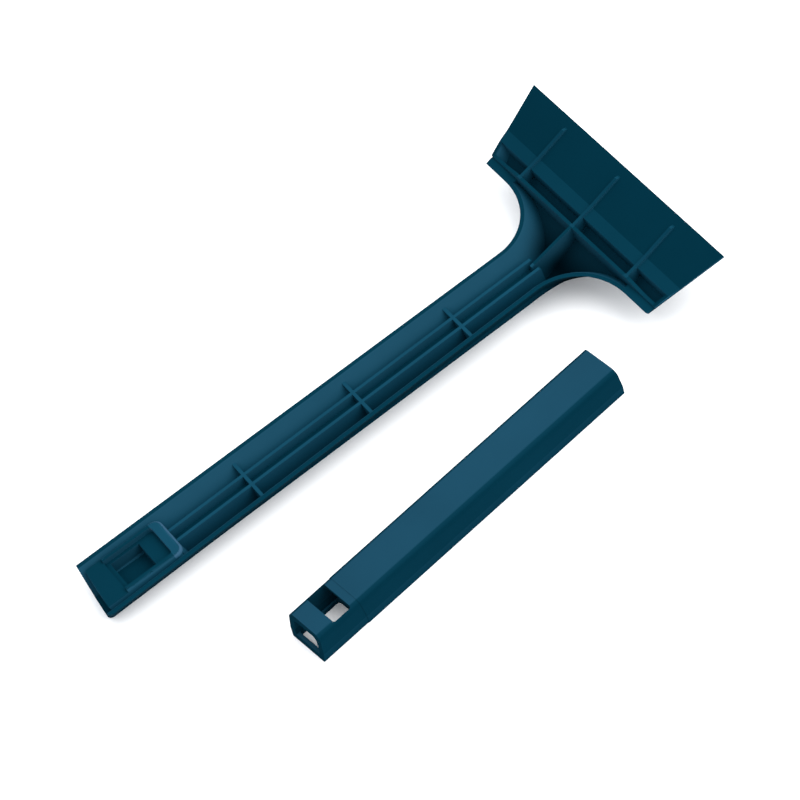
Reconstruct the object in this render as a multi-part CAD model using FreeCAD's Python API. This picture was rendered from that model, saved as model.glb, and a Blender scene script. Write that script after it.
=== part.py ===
"""Windshield ice scraper: one open-channel scraper moulding and its loose extension tube.

Millimetres. The scraper lies ribs-up on the flat back of its handle, +X runs from the handle's end
to the blade, +Z is up. The tube lies beside it on the same surface. The origin is under the centre
of the pair's box, on that surface.
"""

import FreeCAD, Part

import math
import os

from FreeCAD import Vector

# ---- scraper: plan, measured along X from the handle's end ----
BLADE_WIDTH = 110.0
SCRAPER_LENGTH = 230.2
REAR_CORNER_X = 201.1            # where the arms meet the sides of the head
REAR_CORNER_HALF = 47.25
HANDLE_END_HALF = 13.1           # half width over the rim
HANDLE_NECK_HALF = 11.4
NECK_X = 181.0                   # the handle's straight sides end here
THROAT_REACH = 19.6              # the concave throat is a quarter ellipse, this long ...
THROAT_SPREAD = 24.0             # ... and this wide
END_CORNER_RADIUS = 1.8
END_SKEW = 2.2                   # the end is cut a little aslant: its far side stands this far back
END_LEAN = 0.05                  # the end leans in towards the underside, per millimetre of depth

# ---- scraper: heights ----
RIM_HEIGHT_AT_END = 11.0
RIM_RISE = 0.021                 # rim height gained per millimetre along X
BLADE_EDGE_TOP = 25.1
BLADE_EDGE_THICKNESS = 1.8
HEEL_X = 187.0                   # the flat back turns up towards the blade here
HEEL_RADIUS = 32.0
FLOOR_THICKNESS = 2.0

# Side walls of the channel: (depth under the rim, inward offset of the outer face).
WALL_LEVELS = [(0.0, 0.0), (3.0, 2.2), (8.0, 5.9), (12.0, 8.3), (17.0, 9.0)]
RIM_THICKNESS = 1.5
WALL_THICKNESS = 1.9             # measured across, under the rim

# ---- scraper: ribs ----
RIB_THICKNESS = 1.2
HANDLE_RIB_FOOT = 2.6            # the long ribs are drafted: thicker at their foot
HANDLE_RIB_Y = 2.7
HANDLE_RIB_DROP = 2.0            # handle ribs stop this far under the rim
HANDLE_RIB_END = 187.5
SPINE_DEPTH = 3.2                # the floor between the long ribs lies this far under their tops
CROSS_RIB_X = [65.0, 111.2, 153.9]
HEAD_RIB_Y = 31.2
WALL_X = (203.9, 205.1)          # the cross wall's two faces
WALL_TOP = 17.6
RIB_TIP_X = 226.8
POCKET_END_X = 209.2             # narrow pocket behind the blade, then a flatter shelf
SHELF_TOP = 18.2                 # height of the shelf's edge over the pocket
SHELF_END_X = 213.6
POCKET_SKIN = 1.6                # floor thickness under the pocket
BLADE_SLOPE = 0.36
HEAD_RIB_HEIGHT = 0.9            # ribs stand this far over the blade
RIB_RUN_OUT = 1.6                # and drop to it over this length
HEAD_SIDE_LEAN = 36.0            # the head's sides lean in towards the underside, degrees
HEAD_SIDE_WALL = 1.2
THROAT_POCKET_HALF = 33.0

# ---- scraper: end block ----
BLOCK_X = (1.6, 33.2)
BLOCK_HALF = 9.0
PLATE_HALF = 7.2
PLATE_TOP = 10.6
BAND_TOP = 11.7
LEDGE_X = 10.0                   # the plate steps down here
LEDGE_TOP = 9.5
RECESS_END_X = 29.6
HANG_POCKET_X = (11.7, 23.3)
HANG_POCKET_HALF = 6.1
HANG_POCKET_FLOOR = 4.2
BLOCK_CORNER_RADIUS = 3.2
BAND_ROUNDING = 1.5
BLOCK_DRAFT = 2.4                # how far each side of the block leans out towards its foot

# ---- extension tube ----
TUBE_LENGTH = 133.7
TUBE_WIDTH = 17.8                # at the ridge along each side
TUBE_TOP_WIDTH = 16.3
TUBE_BOTTOM_WIDTH = 16.6
TUBE_HEIGHT = 12.0
TUBE_RIDGE_HEIGHT = 4.2
TUBE_WALL = 1.6
TUBE_TOP_RADIUS = 2.4
TUBE_COLLAR_LENGTH = 17.6        # the slightly smaller end with the hanging window
TUBE_COLLAR_STEP = 0.12
TUBE_END_SLANT = 2.2             # the windowed mouth's foot stands this far beyond its top
TUBE_MOUTH_LIP = 0.8             # the bore is this much tighter inside the windowed mouth
TUBE_LIP_LENGTH = 1.0
WINDOW_X = (7.0, 14.6)
WINDOW_WIDTH = 14.2
WINDOW_RADIUS = 0.8
LOWER_WINDOW_X = (-0.4, 16.4)
LOWER_WINDOW_WIDTH = 11.8
TUBE_PLACE = (46.2, -63.9)       # its windowed end, beside the handle
TUBE_ANGLE = 6.5

FAR = 300.0                      # larger than the object, for cutting blocks


def rim_height(x):
    return RIM_HEIGHT_AT_END + RIM_RISE * x


def blade_surface(x):
    return BLADE_EDGE_TOP - BLADE_SLOPE * (SCRAPER_LENGTH - x)


def back_height(x):
    """Height of the underside behind the heel, without the heel's radius."""
    rise = (BLADE_EDGE_TOP - BLADE_EDGE_THICKNESS) / (SCRAPER_LENGTH - HEEL_X)
    return rise * (x - HEEL_X)


def head_half(x):
    """Half width of the head, whose straight sides run from the rear corners to the blade."""
    taper = (BLADE_WIDTH / 2 - REAR_CORNER_HALF) / (SCRAPER_LENGTH - REAR_CORNER_X)
    return REAR_CORNER_HALF + taper * (x - REAR_CORNER_X)


def box(x, y, z):
    """A block from three (low, high) ranges."""
    size = [high - low for low, high in (x, y, z)]
    return Part.makeBox(*size, Vector(x[0], y[0], z[0]))


def prism_y(points, half):
    """A closed outline of (x, z) points, extruded across the part."""
    wire = Part.makePolygon([Vector(x, -half, z) for x, z in points + points[:1]])
    return Part.Face(wire).extrude(Vector(0, 2 * half, 0))


def prism_z(points, low, high):
    """A closed outline of (x, y) points, extruded upwards."""
    wire = Part.makePolygon([Vector(x, y, low) for x, y in points + points[:1]])
    return Part.Face(wire).extrude(Vector(0, 0, high - low))


def beyond_end(setback):
    """Everything beyond a line parallel to the handle's slanted end, set back from it."""
    near_y = END_CORNER_RADIUS - HANDLE_END_HALF
    slope = -END_SKEW / (2 * near_y)
    line = [(setback + slope * (y - near_y), y) for y in (-30, 30)]
    return prism_z([(-20, -30)] + line + [(-20, 30)], -1, 60)


def channel_outline(offset, depth, end_offset):
    """The scraper's plan outline moved inwards by offset, at a depth under the rim.

    It runs round the handle and both throats, and closes well beyond the blade."""
    z = -depth
    start = end_offset
    end_half = HANDLE_END_HALF - offset
    neck_half = HANDLE_NECK_HALF - offset
    reach = THROAT_REACH + offset
    spread = THROAT_SPREAD + offset
    centre_y = HANDLE_NECK_HALF + THROAT_SPREAD
    side = FAR / 3
    radius = END_CORNER_RADIUS
    half_turn = radius * (1 - math.sqrt(0.5))

    def throat(sign):
        ellipse = Part.Ellipse(Vector(NECK_X, sign * centre_y, z), spread, reach)
        ellipse.AngleXU = math.pi / 2
        if sign > 0:
            arc = Part.ArcOfEllipse(ellipse, math.pi, 1.5 * math.pi)
        else:
            arc = Part.ArcOfEllipse(ellipse, 1.5 * math.pi, 2 * math.pi)
        return arc.toShape()

    def line(a, b):
        return Part.makeLine(Vector(*a, z), Vector(*b, z))

    def corner(sign):
        a = Vector(start, sign * (end_half - radius), z)
        middle = Vector(start + half_turn, sign * (end_half - half_turn), z)
        b = Vector(start + radius, sign * end_half, z)
        return Part.Arc(a, middle, b).toShape()

    edges = [
        line((start, -(end_half - radius)), (start, end_half - radius)),
        corner(1),
        line((start + radius, end_half), (NECK_X, neck_half)),
        throat(1),
        line((NECK_X + reach, centre_y), (NECK_X + reach, side)),
        line((NECK_X + reach, side), (FAR, side)),
        line((FAR, side), (FAR, -side)),
        line((FAR, -side), (NECK_X + reach, -side)),
        line((NECK_X + reach, -side), (NECK_X + reach, -centre_y)),
        throat(-1),
        line((NECK_X, -neck_half), (start + radius, -end_half)),
        corner(-1),
    ]
    return Part.Wire(Part.__sortEdges__(edges))


def channel_solid(extra_rim, extra_wall, end_offset, end_lean):
    """The filled channel shape, drawn under a level rim and then tilted to the rim's real rise."""
    wires = []
    for depth, offset in WALL_LEVELS:
        extra = extra_rim if depth == 0 else extra_wall
        wires.append(channel_outline(offset + extra, depth, end_offset + end_lean * depth))
    solid = Part.makeLoft(wires, True, True)
    solid.rotate(Vector(0, 0, 0), Vector(0, 1, 0), -math.degrees(math.atan(RIM_RISE)))
    solid.translate(Vector(0, 0, RIM_HEIGHT_AT_END))
    return solid


def region_above_back(lift):
    """Everything above the underside moved up by lift: flat, then a heel, then the head's slope."""
    angle = math.atan2(back_height(SCRAPER_LENGTH), SCRAPER_LENGTH - HEEL_X)
    run = HEEL_RADIUS * math.tan(angle / 2)
    tangent_x = HEEL_X - run
    middle = Vector(
        tangent_x + HEEL_RADIUS * math.sin(angle / 2),
        0,
        lift + HEEL_RADIUS * (1 - math.cos(angle / 2)),
    )
    slope_start = Vector(HEEL_X + run * math.cos(angle), 0, lift + run * math.sin(angle))
    far_x = SCRAPER_LENGTH + 20
    corners = [
        Vector(-20, 0, lift),
        Vector(tangent_x, 0, lift),
        slope_start,
        Vector(far_x, 0, lift + back_height(far_x)),
        Vector(far_x, 0, 80),
        Vector(-20, 0, 80),
    ]
    edges = [
        Part.makeLine(corners[0], corners[1]),
        Part.Arc(corners[1], middle, slope_start).toShape(),
        Part.makeLine(slope_start, corners[3]),
        Part.makeLine(corners[3], corners[4]),
        Part.makeLine(corners[4], corners[5]),
        Part.makeLine(corners[5], corners[0]),
    ]
    face = Part.Face(Part.Wire(edges))
    solid = face.extrude(Vector(0, FAR, 0))
    solid.translate(Vector(0, -FAR / 2, 0))
    return solid


def side_wedge(sign, inset):
    """The space outside one leaning side of the head, under the line of its upper edge."""
    blade_corner = Vector(SCRAPER_LENGTH, sign * (BLADE_WIDTH / 2 - inset), BLADE_EDGE_TOP - 0.6)
    rear_corner = Vector(
        REAR_CORNER_X, sign * (REAR_CORNER_HALF - inset), rim_height(REAR_CORNER_X) - 0.6
    )
    along = (blade_corner - rear_corner).normalize()
    lean = math.radians(HEAD_SIDE_LEAN)
    inwards = Vector(0, -sign * math.sin(lean), -math.cos(lean))
    upper = [rear_corner - along * 18, blade_corner + along * 6]
    lower = [point + inwards * 40 for point in reversed(upper)]
    face = Part.Face(Part.makePolygon(upper + lower + upper[:1]))
    return face.extrude(Vector(0, sign * 60, 0))


def plan_prism(inset=0.0):
    """The plan of handle plus trapezoid head, which trims the side faces of the head."""
    rear = REAR_CORNER_X - 25
    points = [
        (-20, -40),
        (rear, -40),
        (rear, -(head_half(rear) - inset)),
        (SCRAPER_LENGTH, -(BLADE_WIDTH / 2 - inset)),
        (SCRAPER_LENGTH, BLADE_WIDTH / 2 - inset),
        (rear, head_half(rear) - inset),
        (rear, 40),
        (-20, 40),
    ]
    prism = prism_z(points, -10, 60)
    return prism.cut([side_wedge(1, inset), side_wedge(-1, inset)])


def channel_shell():
    outer = channel_solid(0.0, 0.0, 0.0, END_LEAN).common(region_above_back(0.0))
    outer = outer.common(box((-5, WALL_X[1]), (-60, 60), (-1, 60))).cut(beyond_end(0.0))
    inner = channel_solid(RIM_THICKNESS, WALL_THICKNESS, -15.0, 0.0)
    inner = inner.common(region_above_back(FLOOR_THICKNESS))
    half = THROAT_POCKET_HALF
    hollow = inner.common(box((-16, WALL_X[0]), (-half, half), (-1, 60)))
    hollow = hollow.common(plan_prism(HEAD_SIDE_WALL))
    return outer.cut(hollow).common(plan_prism())


def head_plate():
    """Wedge-shaped blade, the shelf behind it and the narrow pocket's floor."""
    x0 = WALL_X[0] - 1
    floor = [(x, back_height(x) + POCKET_SKIN) for x in (x0, POCKET_END_X)]
    shelf = [(POCKET_END_X, SHELF_TOP), (SHELF_END_X, blade_surface(SHELF_END_X))]
    edge = [(SCRAPER_LENGTH, BLADE_EDGE_TOP), (SCRAPER_LENGTH, back_height(SCRAPER_LENGTH))]
    return prism_y(floor + shelf + edge + [(x0, back_height(x0))], 60).common(plan_prism())


def head_sides():
    """Thin walls that close the narrow pocket at both sides of the head."""
    x0, x1 = WALL_X[0], SHELF_END_X
    profile = [
        (x0, back_height(x0)),
        (x1, back_height(x1)),
        (x1, blade_surface(x1)),
        (POCKET_END_X, SHELF_TOP),
        (x0, rim_height(REAR_CORNER_X) + 0.9),
    ]
    ring = plan_prism().cut(plan_prism(HEAD_SIDE_WALL))
    return prism_y(profile, 60).common(ring)


def cross_wall():
    low = back_height(WALL_X[0])
    wall = box(WALL_X, (-60, 60), (low, WALL_TOP))
    wall = wall.common(plan_prism()).common(region_above_back(0.0))
    trim = rim_height(REAR_CORNER_X) + 0.9
    for sign in (1, -1):
        corner = [
            (sign * THROAT_POCKET_HALF, WALL_TOP),
            (sign * (THROAT_POCKET_HALF + 8), trim),
            (sign * 60, trim),
            (sign * 60, WALL_TOP + 1),
            (sign * THROAT_POCKET_HALF, WALL_TOP + 1),
        ]
        wire = Part.makePolygon([Vector(WALL_X[0] - 1, y, z) for y, z in corner + corner[:1]])
        wall = wall.cut(Part.Face(wire).extrude(Vector(5, 0, 0)))
    return wall


def head_rib(y, start_x, start_top):
    """A rib across the head: it meets the cross wall's rim and runs out into the blade."""
    wall_x = WALL_X[1]
    tip = blade_surface(RIB_TIP_X)
    shelf_end = blade_surface(SHELF_END_X)
    run_out_x = RIB_TIP_X - RIB_RUN_OUT
    profile = [
        (start_x, start_top),
        (WALL_X[0], WALL_TOP),
        (wall_x, WALL_TOP),
        (SHELF_END_X, shelf_end + HEAD_RIB_HEIGHT),
        (run_out_x, blade_surface(run_out_x) + HEAD_RIB_HEIGHT),
        (RIB_TIP_X, tip),
        (RIB_TIP_X, tip - 0.8),
        (SHELF_END_X, shelf_end - 1.0),
        (wall_x, back_height(wall_x) + 0.8),
        (start_x, 1.0),
    ]
    rib = prism_y(profile, RIB_THICKNESS / 2)
    rib.translate(Vector(0, y, 0))
    return rib.common(region_above_back(0.5))


def drafted_run(x, y, foot, crest, drop):
    """A run along the handle whose section narrows from foot to crest, drop under the rim."""
    wires = []
    for end in x:
        top = rim_height(end) - drop
        section = [
            Vector(end, y - foot / 2, 1.0),
            Vector(end, y + foot / 2, 1.0),
            Vector(end, y + crest / 2, top),
            Vector(end, y - crest / 2, top),
        ]
        wires.append(Part.makePolygon(section + section[:1]))
    return Part.makeLoft(wires, True, True)


def handle_ribs():
    """Two long ribs with a raised floor between them, and three cross ribs, under the rim."""
    span = (BLOCK_X[1] - 1.5, HANDLE_RIB_END)
    spine_drop = HANDLE_RIB_DROP + SPINE_DEPTH
    width = 2 * HANDLE_RIB_Y
    ribs = [drafted_run(span, 0.0, width, width, spine_drop)]
    for sign in (1, -1):
        y = sign * HANDLE_RIB_Y
        ribs.append(drafted_run(span, y, HANDLE_RIB_FOOT, RIB_THICKNESS, HANDLE_RIB_DROP))
    for x in CROSS_RIB_X:
        span = (x - RIB_THICKNESS / 2, x + RIB_THICKNESS / 2)
        ribs.append(box(span, (-20, 20), (1.0, rim_height(x) - HANDLE_RIB_DROP)))
    filled = channel_solid(RIM_THICKNESS - 0.5, WALL_THICKNESS - 0.5, 0.0, 0.0)
    filled = filled.common(region_above_back(0.5))
    return [rib.common(filled) for rib in ribs]


def rounded_rectangle(x, half, z, radius):
    """A wire with its two corners on the head side rounded."""
    x0, x1 = x
    a, b = Vector(x0, -half, z), Vector(x1 - radius, -half, z)
    c, d = Vector(x1, -half + radius, z), Vector(x1, half - radius, z)
    e, f = Vector(x1 - radius, half, z), Vector(x0, half, z)
    turn = radius * math.sqrt(0.5)
    low_mid = Vector(x1 - radius + turn, -half + radius - turn, z)
    high_mid = Vector(x1 - radius + turn, half - radius + turn, z)
    edges = [
        Part.makeLine(a, b),
        Part.Arc(b, low_mid, c).toShape(),
        Part.makeLine(c, d),
        Part.Arc(d, high_mid, e).toShape(),
        Part.makeLine(e, f),
        Part.makeLine(f, a),
    ]
    return Part.Wire(edges)


def end_block():
    """The raised block in the handle's end: side bands and a rounded head band round a plate."""
    x0, x1 = BLOCK_X
    foot = (x0 + BLOCK_DRAFT, x1 + BLOCK_DRAFT)
    block = Part.makeLoft(
        [
            rounded_rectangle(foot, BLOCK_HALF + BLOCK_DRAFT, 0.8, BLOCK_CORNER_RADIUS),
            rounded_rectangle(BLOCK_X, BLOCK_HALF, BAND_TOP, BLOCK_CORNER_RADIUS),
        ],
        True,
        True,
    )
    crest = [e for e in block.Edges if min(v.Z for v in e.Vertexes) > BAND_TOP - 0.01]
    block = block.makeFillet(BAND_ROUNDING, [e for e in crest if e.BoundBox.XMax > x0 + 0.1])
    plate = rounded_rectangle((x0 - 5, RECESS_END_X), PLATE_HALF, PLATE_TOP, 1.2)
    block = block.cut(Part.Face(plate).extrude(Vector(0, 0, 10)))
    block = block.cut(box((x0 - 5, LEDGE_X), (-20, 20), (PLATE_TOP, 40)))
    recess = rounded_rectangle((LEDGE_X, RECESS_END_X), PLATE_HALF, LEDGE_TOP, 1.2)
    block = block.cut(Part.Face(recess).extrude(Vector(0, 0, 10)))
    pocket = box(
        HANG_POCKET_X, (-HANG_POCKET_HALF, HANG_POCKET_HALF), (HANG_POCKET_FLOOR, 40)
    )
    block = block.cut([pocket, beyond_end(x0)])
    filled = channel_solid(0.3, 0.3, 0.0, END_LEAN).common(region_above_back(0.0))
    below_rim = block.common(filled)
    above_rim = block.common(box((-5, 60), (-BLOCK_HALF, BLOCK_HALF), (10, 40)))
    return below_rim.fuse(above_rim)


def scraper():
    pieces = [head_plate(), head_sides(), cross_wall(), end_block()]
    pieces += handle_ribs()
    for sign in (1, -1):
        rib = head_rib(sign * HEAD_RIB_Y, WALL_X[0], WALL_TOP)
        pieces.append(rib)
    throat_start = HANDLE_RIB_END - 2
    pieces.append(head_rib(0.0, throat_start, rim_height(throat_start) - HANDLE_RIB_DROP))
    body = channel_shell().fuse(pieces).removeSplitter()
    body = body.common(region_above_back(0.0))
    return body.Solids[0] if len(body.Solids) == 1 else body


def tube_section(x, shrink, radius):
    """The tube's six-sided section at x, shrunk evenly, with rounded top corners."""
    half_top = TUBE_TOP_WIDTH / 2 - shrink
    half_ridge = TUBE_WIDTH / 2 - shrink
    half_foot = TUBE_BOTTOM_WIDTH / 2 - shrink
    top, foot = TUBE_HEIGHT - shrink, shrink
    side = Vector(0, half_ridge - half_top, TUBE_RIDGE_HEIGHT - top).normalize()
    turn = radius * 0.3
    edges = []
    for sign in (1, -1):
        def at(y, z):
            return Vector(x, sign * y, z)

        ridge = at(half_ridge, TUBE_RIDGE_HEIGHT)
        corner_low = at(half_top + side.y * radius, top + side.z * radius)
        corner_high = at(half_top - radius, top)
        middle = at(half_top - turn + side.y * turn, top + side.z * turn)
        edges += [
            Part.makeLine(at(half_foot, foot), ridge),
            Part.makeLine(ridge, corner_low),
            Part.Arc(corner_low, middle, corner_high).toShape(),
        ]
    edges.append(Part.makeLine(Vector(x, half_top - radius, top), Vector(x, radius - half_top, top)))
    edges.append(Part.makeLine(Vector(x, half_foot, foot), Vector(x, -half_foot, foot)))
    return Part.Face(Part.Wire(Part.__sortEdges__(edges)))


def tube_run(x, shrink, radius):
    face = tube_section(x[0], shrink, radius)
    return face.extrude(Vector(x[1] - x[0], 0, 0))


def window(x, z, width):
    half = width / 2
    block = box(x, (-half, half), z)
    upright = [e for e in block.Edges if abs(e.tangentAt(e.FirstParameter).z) > 0.9]
    return block.makeFillet(WINDOW_RADIUS, upright)


def extension_tube():
    lean = TUBE_END_SLANT / TUBE_HEIGHT
    start = -TUBE_END_SLANT - 1
    collar = tube_run((start, TUBE_COLLAR_LENGTH), TUBE_COLLAR_STEP, TUBE_TOP_RADIUS)
    slant = [(start - 1, -1), (-TUBE_END_SLANT - lean, -1), (lean, TUBE_HEIGHT + 1)]
    collar = collar.cut(prism_y(slant + [(start - 1, TUBE_HEIGHT + 1)], TUBE_WIDTH))
    barrel = tube_run((TUBE_COLLAR_LENGTH, TUBE_LENGTH), 0.0, TUBE_TOP_RADIUS)
    bore = tube_run((TUBE_LIP_LENGTH, TUBE_LENGTH + 1), TUBE_WALL, TUBE_TOP_RADIUS - 0.5)
    mouth_shrink = TUBE_WALL + TUBE_MOUTH_LIP
    mouth = tube_run((start, TUBE_LIP_LENGTH), mouth_shrink, TUBE_TOP_RADIUS - 0.5)
    tube = collar.fuse(barrel).cut(bore).cut(mouth)
    tube = tube.cut(window(WINDOW_X, (TUBE_HEIGHT / 2, TUBE_HEIGHT + 5), WINDOW_WIDTH))
    tube = tube.cut(window(LOWER_WINDOW_X, (-5, TUBE_HEIGHT / 2), LOWER_WINDOW_WIDTH))
    tube.rotate(Vector(0, 0, 0), Vector(0, 0, 1), TUBE_ANGLE)
    tube.translate(Vector(*TUBE_PLACE, 0))
    return tube.Solids[0]


def main():
    parts = {"scraper": scraper(), "extension_tube": extension_tube()}
    turn = math.radians(TUBE_ANGLE)
    beyond = TUBE_END_SLANT * (1 - TUBE_RIDGE_HEIGHT / TUBE_HEIGHT)
    collar_half = TUBE_WIDTH / 2 - TUBE_COLLAR_STEP
    lowest_y = TUBE_PLACE[1] - collar_half * math.cos(turn) - beyond * math.sin(turn)
    centre = Vector(SCRAPER_LENGTH / 2, (BLADE_WIDTH / 2 + lowest_y) / 2, 0)
    os.makedirs("parts", exist_ok=True)
    for name, shape in parts.items():
        shape.translate(-centre)
        bounds = shape.optimalBoundingBox(False)
        print(name, shape.ShapeType, len(shape.Solids), shape.isValid(), round(shape.Volume))
        print("  ", [round(v, 2) for v in (bounds.XMin, bounds.XMax, bounds.YMin, bounds.YMax)],
              [round(v, 2) for v in (bounds.ZMin, bounds.ZMax)])
        shape.exportStep("parts/" + name + ".step")


main()
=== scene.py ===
import bpy
import math
from mathutils import Matrix, Vector

# One petrol-blue ice scraper moulding and its loose extension tube, lying on a pale studio floor.
# Metres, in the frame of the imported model.

SCRAPER = "scraper"
TUBE = "extension_tube"

# ---- camera ----
CAMERA_TARGET = Vector((0.0067, -0.00035, 0.008))
CAMERA_DISTANCE = 1.35
CAMERA_HEADING = 15.8            # degrees from +Y towards +X
CAMERA_ELEVATION = 50.0
CAMERA_ROLL = 24.0
CAMERA_LENS = 181.3              # millimetres, on the sensor below
CAMERA_SENSOR = 36.0

# ---- light and floor ----
KEY_LIGHT = {"direction": (0.55, -0.60, 0.85), "distance": 1.6, "size": 1.5, "energy": 24.0}
TOP_LIGHT = {"direction": (0.0, 0.1, 1.0), "distance": 1.8, "size": 2.2, "energy": 12.0}
SKY_COLOUR = (0.93, 0.96, 1.0, 1.0)
SKY_STRENGTH = 1.15
FLOOR_COLOUR = (0.96, 0.96, 0.96, 1.0)
FLOOR_SIZE = 6.0

# ---- moulded edges ----
EDGE_RADIUS = 0.00035
EDGE_ANGLE = 7.0                 # degrees: edges sharper than this get the radius
FLAT_ANGLE = 0.6                 # degrees: triangles closer than this are one flat face
WELD_DISTANCE = 0.000002

# ---- plastic ----
# The brightest albedo of each moulding, and its painted shade by facing: how much of it each
# facing keeps.
# The stops are (upward part of the surface's normal, share of the albedo).
SCRAPER_COLOUR = (0.0110, 0.0520, 0.0860)
SCRAPER_PAINTED_FACING_SHADE = [
    (-0.2, 0.32),
    (0.0, 0.85),
    (0.10, 1.0),
    (0.78, 0.88),
    (0.935, 0.33),
    (0.975, 0.48),
    (0.99, 0.45),
]
TUBE_COLOUR = (0.0095, 0.0450, 0.0760)
# Painted shade by facing for the tube, in the same stops.
TUBE_PAINTED_FACING_SHADE = [
    (-0.36, 0.30),
    (-0.1, 0.62),
    (0.13, 0.41),
    (0.6, 0.38),
    (0.93, 0.53),
    (0.985, 0.92),
]
PIGMENT_SPREAD = 0.06            # how far the pigment varies either way
# Painted shade in hollows, from ambient occlusion within this reach.
CAVITY_SHADE_REACH = 0.009
CAVITY_PAINTED_SHADE = (0.30, 0.84, 0.89, 1.0)
CAVITY_SHADE_OPENNESS = (0.12, 0.75)   # fully tinted below the first, untinted above the second
GLOSS = 0.02
GLOSS_IOR = 1.05
ROUGHNESS = (0.46, 0.58)
TUBE_PATTERN_SHIFT = 3.1         # so that the tube's grain isn't the scraper's

# Painted shade in the throat between handle and head: its colour darkens from its rim to its
# floor.
THROAT_START_X = (0.068, 0.080)
THROAT_DEPTH_Z = (0.005, 0.0150)
THROAT_PAINTED_SHADE = 0.11

# ---- crests of the scraper, with a painted highlight ----
SCRAPER_Y = 0.0089               # the scraper's centre line
# Painted highlight: the factor that makes the crests paler.
CREST_PAINTED_HIGHLIGHT = (3.5, 1.75, 1.75, 1.0)
CREST_UPWARD = 0.75              # a rib's crest faces up at least this much

# The band round the end block.
BAND_X = (-0.0858, -0.0812)
BAND_MIN_Z = 0.0104
BAND_HALF = 0.0094

# The ribs in the handle, whose tops climb towards the head.
RIB_X = (-0.0815, 0.0720)
RIB_TOP_AT_ORIGIN = 0.01142
RIB_RISE = 0.021
RIB_TOP_MARGIN = (-0.0006, 0.0003)

# The three ribs of the head, with a weaker painted highlight than the others.
HEAD_RIB_X = (0.0890, 0.1112)
HEAD_RIB_Y = 0.0312              # the side ribs' distance from the centre line
HEAD_RIB_HALF = 0.0009
HEAD_RIB_PAINTED_HIGHLIGHT = 0.5

# Sockets of a colour mix node.
MIX_FACTOR = 0
MIX_FIRST = 6
MIX_SECOND = 7
MIX_RESULT = 2

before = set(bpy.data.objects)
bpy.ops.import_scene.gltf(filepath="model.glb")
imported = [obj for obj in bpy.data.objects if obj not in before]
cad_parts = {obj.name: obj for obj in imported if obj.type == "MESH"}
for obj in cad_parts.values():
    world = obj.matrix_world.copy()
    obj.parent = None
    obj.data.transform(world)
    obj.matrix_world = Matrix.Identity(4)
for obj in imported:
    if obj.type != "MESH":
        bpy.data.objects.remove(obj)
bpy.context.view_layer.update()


# ---- shader helpers ----

def node(tree, kind, inputs=None, **settings):
    """A new shader node, with its settings and the starting values of its inputs."""
    made = tree.nodes.new(kind)
    for key, value in settings.items():
        setattr(made, key, value)
    for key, value in (inputs or {}).items():
        made.inputs[key].default_value = value
    return made


def ramp(tree, value, low, high, low_at=0.0, high_at=1.0):
    """A colour from low to high, as the value goes from low_at to high_at."""
    made = node(tree, "ShaderNodeValToRGB")
    first, last = made.color_ramp.elements
    first.position, first.color = low_at, low
    last.position, last.color = high_at, high
    tree.links.new(value, made.inputs["Fac"])
    return made.outputs["Color"]


def grey(value):
    return (value, value, value, 1.0)


def scaled(colour, factor):
    return tuple(factor * part for part in colour) + (1.0,)


def painted_shade_tone(share):
    """A painted-shade colour for a share of the pigment's brightness: the less there is, the purer
    the blue-green.
    """
    return (share ** 2.6, share, share ** 0.97, 1.0)


def split(tree, vector):
    """The X, Y and Z parts of a vector."""
    made = node(tree, "ShaderNodeSeparateXYZ")
    tree.links.new(vector, made.inputs["Vector"])
    return made.outputs["X"], made.outputs["Y"], made.outputs["Z"]


def surface_normal(tree):
    return node(tree, "ShaderNodeNewGeometry").outputs["Normal"]


def smooth_step(tree, value, limits):
    made = node(tree, "ShaderNodeMapRange", interpolation_type="SMOOTHSTEP")
    made.inputs["From Min"].default_value, made.inputs["From Max"].default_value = limits
    tree.links.new(value, made.inputs["Value"])
    return made.outputs["Result"]


def calculate(tree, operation, first, second=0.0):
    """One value worked out with another value, or with a plain number."""
    made = node(tree, "ShaderNodeMath", operation=operation)
    tree.links.new(first, made.inputs[0])
    if isinstance(second, float):
        made.inputs[1].default_value = second
    else:
        tree.links.new(second, made.inputs[1])
    return made.outputs[0]


def distance(tree, value, centre):
    return calculate(tree, "ABSOLUTE", calculate(tree, "SUBTRACT", value, centre))


def between(tree, value, limits):
    over = calculate(tree, "GREATER_THAN", value, limits[0])
    return calculate(tree, "MULTIPLY", over, calculate(tree, "LESS_THAN", value, limits[1]))


def all_of(tree, masks):
    """Masks multiplied together. A plain number among them weakens the result."""
    mask = masks[0]
    for other in masks[1:]:
        mask = calculate(tree, "MULTIPLY", mask, other)
    return mask


def multiplied(tree, first, second, factor=1.0):
    """One colour times another colour, by a factor that is a number or a mask."""
    made = node(tree, "ShaderNodeMix", data_type="RGBA", blend_type="MULTIPLY")
    for socket, value in ((MIX_FACTOR, factor), (MIX_FIRST, first), (MIX_SECOND, second)):
        if isinstance(value, (float, tuple)):
            made.inputs[socket].default_value = value
        else:
            tree.links.new(value, made.inputs[socket])
    return made.outputs[MIX_RESULT]


# ---- plastic ----

def clouded_pigment(tree, place, colour):
    """The pigment, which varies slowly and slightly over the moulding."""
    cloud = node(tree, "ShaderNodeTexNoise", {"Scale": 28.0, "Detail": 3.0, "Roughness": 0.55})
    tree.links.new(place, cloud.inputs["Vector"])
    low = scaled(colour, 1 - PIGMENT_SPREAD)
    high = scaled(colour, 1 + PIGMENT_SPREAD)
    return ramp(tree, cloud.outputs["Fac"], low, high, 0.3, 0.7)


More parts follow.
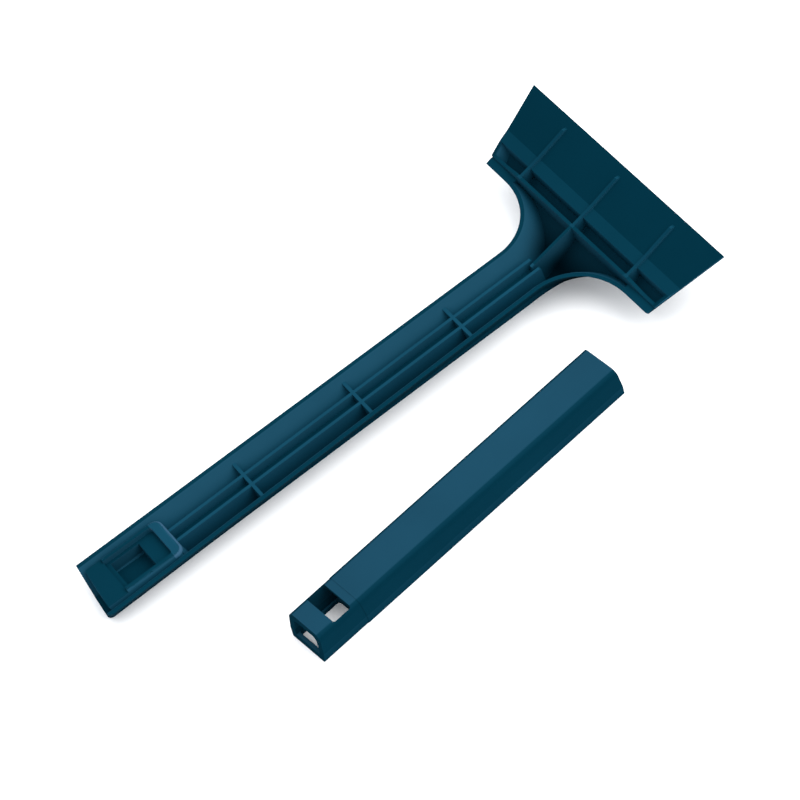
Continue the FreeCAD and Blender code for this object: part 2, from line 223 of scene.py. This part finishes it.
def painted_facing_shade(tree, shade_stops):
    """Painted shade by facing: how much of the pigment's brightness the surface keeps, by how far
    it faces up.
    """
    upward = node(tree, "ShaderNodeMapRange", {"From Min": -1.0, "From Max": 1.0})
    tree.links.new(split(tree, surface_normal(tree))[2], upward.inputs["Value"])
    share = node(tree, "ShaderNodeValToRGB")
    elements = share.color_ramp.elements
    elements[0].position, elements[0].color = 0.0, painted_shade_tone(shade_stops[0][1])
    elements[1].position, elements[1].color = 1.0, painted_shade_tone(shade_stops[-1][1])
    for facing, kept in shade_stops:
        element = elements.new((facing + 1.0) / 2.0)
        element.color = painted_shade_tone(kept)
    tree.links.new(upward.outputs["Result"], share.inputs["Fac"])
    return share.outputs["Color"]


def painted_cavity_shade(tree):
    """Painted shade in hollows: ambient occlusion darkens and deepens their colour."""
    hollow = node(tree, "ShaderNodeAmbientOcclusion", {"Distance": CAVITY_SHADE_REACH}, samples=8)
    return ramp(tree, hollow.outputs["AO"], CAVITY_PAINTED_SHADE, grey(1.0), *CAVITY_SHADE_OPENNESS)


def painted_throat_shade(tree, place, pigment):
    """The pigment with painted shade, deepening with depth in the throat of the scraper's head."""
    x, _, z = split(tree, place)
    along = smooth_step(tree, x, THROAT_START_X)
    height = smooth_step(tree, z, THROAT_DEPTH_Z)
    shade = ramp(tree, height, painted_shade_tone(THROAT_PAINTED_SHADE), grey(1.0))
    return multiplied(tree, pigment, shade, along)


def painted_crest_highlights(tree, place, pigment):
    """The scraper's pigment, with a painted highlight on the crests of the end band and the ribs.
    """
    x, y, z = split(tree, place)
    facing_up = calculate(tree, "GREATER_THAN", split(tree, surface_normal(tree))[2], CREST_UPWARD)
    aside = distance(tree, y, SCRAPER_Y)
    band = all_of(tree, [
        between(tree, x, BAND_X),
        calculate(tree, "LESS_THAN", aside, BAND_HALF),
        calculate(tree, "GREATER_THAN", z, BAND_MIN_Z),
    ])
    climb = calculate(tree, "MULTIPLY", x, -RIB_RISE)
    level = calculate(tree, "SUBTRACT", calculate(tree, "ADD", z, climb), RIB_TOP_AT_ORIGIN)
    handle_rib = all_of(tree, [
        between(tree, level, RIB_TOP_MARGIN),
        between(tree, x, RIB_X),
        facing_up,
    ])
    off_rib = calculate(tree, "MINIMUM", aside, distance(tree, aside, HEAD_RIB_Y))
    head_rib = all_of(tree, [
        calculate(tree, "LESS_THAN", off_rib, HEAD_RIB_HALF),
        between(tree, x, HEAD_RIB_X),
        facing_up,
        HEAD_RIB_PAINTED_HIGHLIGHT,
    ])
    crest = calculate(tree, "MAXIMUM", calculate(tree, "MAXIMUM", band, handle_rib), head_rib)
    # Painted highlight on the band and rib crests.
    return multiplied(tree, pigment, CREST_PAINTED_HIGHLIGHT, crest)


def satin(tree, place):
    """The roughness: satin, with faint streaks along the flow of the plastic."""
    stretch = node(tree, "ShaderNodeMapping", {"Scale": (6.0, 90.0, 90.0)})
    tree.links.new(place, stretch.inputs["Vector"])
    streak = node(tree, "ShaderNodeTexNoise", {"Scale": 1.0, "Detail": 4.0})
    tree.links.new(stretch.outputs["Vector"], streak.inputs["Vector"])
    low, high = ROUGHNESS
    return ramp(tree, streak.outputs["Fac"], grey(low), grey(high), 0.3, 0.7)


def relief(tree, place):
    """The normal: a fine grain on a very slight unevenness of the moulded walls."""
    wave = node(tree, "ShaderNodeTexNoise", {"Scale": 55.0, "Detail": 1.0})
    grain = node(tree, "ShaderNodeTexNoise", {"Scale": 2600.0, "Detail": 2.0, "Roughness": 0.6})
    wave_bump = node(tree, "ShaderNodeBump", {"Strength": 0.25, "Distance": 0.0006})
    grain_bump = node(tree, "ShaderNodeBump", {"Strength": 0.22, "Distance": 0.00012})
    for noise, bump in ((wave, wave_bump), (grain, grain_bump)):
        tree.links.new(place, noise.inputs["Vector"])
        tree.links.new(noise.outputs["Fac"], bump.inputs["Height"])
    tree.links.new(wave_bump.outputs["Normal"], grain_bump.inputs["Normal"])
    return grain_bump.outputs["Normal"]


def moulded_plastic(name, colour, facing, shift, is_scraper):
    """Satin coloured polypropylene: fine eroded grain, faint flow marks."""
    material = bpy.data.materials.new(name)
    material.use_nodes = True
    tree = material.node_tree
    shader = tree.nodes["Principled BSDF"]
    shader.inputs["Specular IOR Level"].default_value = GLOSS
    shader.inputs["IOR"].default_value = GLOSS_IOR

    object_place = node(tree, "ShaderNodeTexCoord").outputs["Object"]
    mapping = node(tree, "ShaderNodeMapping", {"Location": (shift, shift * 0.7, shift * 0.3)})
    tree.links.new(object_place, mapping.inputs["Vector"])
    place = mapping.outputs["Vector"]

    # Painted shade by facing darkens the pigment.
    pigment = multiplied(tree, clouded_pigment(tree, place, colour), painted_facing_shade(tree, facing))
    # Painted shade in hollows.
    pigment = multiplied(tree, pigment, painted_cavity_shade(tree))
    if is_scraper:
        # Painted shade deepening into the throat.
        pigment = painted_throat_shade(tree, object_place, pigment)
        # Painted highlights on the scraper's crests.
        pigment = painted_crest_highlights(tree, object_place, pigment)
    tree.links.new(pigment, shader.inputs["Base Color"])
    tree.links.new(satin(tree, place), shader.inputs["Roughness"])
    tree.links.new(relief(tree, place), shader.inputs["Normal"])
    return material


def finish_moulding(piece, material):
    """Gives a CAD moulding its material and the small radius that its tool edges leave."""
    piece.data.materials.clear()
    piece.data.materials.append(material)
    weld = piece.modifiers.new("weld", "WELD")
    weld.merge_threshold = WELD_DISTANCE
    planar = piece.modifiers.new("planar", "DECIMATE")
    planar.decimate_type = "DISSOLVE"
    planar.angle_limit = math.radians(FLAT_ANGLE)
    bevel = piece.modifiers.new("edges", "BEVEL")
    bevel.width = EDGE_RADIUS
    bevel.segments = 3
    bevel.limit_method = "ANGLE"
    bevel.angle_limit = math.radians(EDGE_ANGLE)
    bevel.harden_normals = True
    normals = piece.modifiers.new("normals", "WEIGHTED_NORMAL")
    normals.mode = "FACE_AREA"
    normals.weight = 100


# ---- studio ----

def floor_material():
    material = bpy.data.materials.new("studio_floor")
    material.use_nodes = True
    shader = material.node_tree.nodes["Principled BSDF"]
    shader.inputs["Base Color"].default_value = FLOOR_COLOUR
    shader.inputs["Roughness"].default_value = 0.9
    shader.inputs["Specular IOR Level"].default_value = 0.1
    return material


def make_floor():
    half = FLOOR_SIZE / 2
    corners = [(-half, -half, 0), (half, -half, 0), (half, half, 0), (-half, half, 0)]
    mesh = bpy.data.meshes.new("floor")
    mesh.from_pydata(corners, [], [(0, 1, 2, 3)])
    floor = bpy.data.objects.new("floor", mesh)
    floor.data.materials.append(floor_material())
    bpy.context.scene.collection.objects.link(floor)


def make_camera():
    heading = math.radians(CAMERA_HEADING)
    elevation = math.radians(CAMERA_ELEVATION)
    forward = Vector((
        math.sin(heading) * math.cos(elevation),
        math.cos(heading) * math.cos(elevation),
        -math.sin(elevation),
    ))
    level = Vector((math.cos(heading), -math.sin(heading), 0.0))
    right = Matrix.Rotation(math.radians(CAMERA_ROLL), 3, forward) @ level
    up = right.cross(forward)
    data = bpy.data.cameras.new("camera")
    data.lens = CAMERA_LENS
    data.sensor_width = CAMERA_SENSOR
    data.clip_end = 20.0
    camera = bpy.data.objects.new("camera", data)
    turn = Matrix((right, up, -forward)).transposed().to_4x4()
    camera.matrix_world = Matrix.Translation(CAMERA_TARGET - CAMERA_DISTANCE * forward) @ turn
    bpy.context.scene.collection.objects.link(camera)
    bpy.context.scene.camera = camera


def area_light(name, direction, distance, size, energy):
    data = bpy.data.lights.new(name, "AREA")
    data.shape = "DISK"
    data.size = size
    data.energy = energy
    light = bpy.data.objects.new(name, data)
    towards = Vector(direction).normalized()
    light.location = towards * distance
    light.rotation_euler = towards.to_track_quat("Z", "Y").to_euler()
    bpy.context.scene.collection.objects.link(light)


def make_light():
    area_light("key", **KEY_LIGHT)
    area_light("top", **TOP_LIGHT)
    world = bpy.data.worlds.new("studio")
    world.use_nodes = True
    background = world.node_tree.nodes["Background"]
    background.inputs["Color"].default_value = SKY_COLOUR
    background.inputs["Strength"].default_value = SKY_STRENGTH
    bpy.context.scene.world = world
    bpy.context.scene.view_settings.view_transform = "Standard"


make_camera()
make_floor()
make_light()
scraper_plastic = moulded_plastic("scraper_plastic", SCRAPER_COLOUR, SCRAPER_PAINTED_FACING_SHADE, 0.0, True)
tube_plastic = moulded_plastic("tube_plastic", TUBE_COLOUR, TUBE_PAINTED_FACING_SHADE, TUBE_PATTERN_SHIFT, False)
finish_moulding(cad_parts[SCRAPER], scraper_plastic)
finish_moulding(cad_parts[TUBE], tube_plastic)
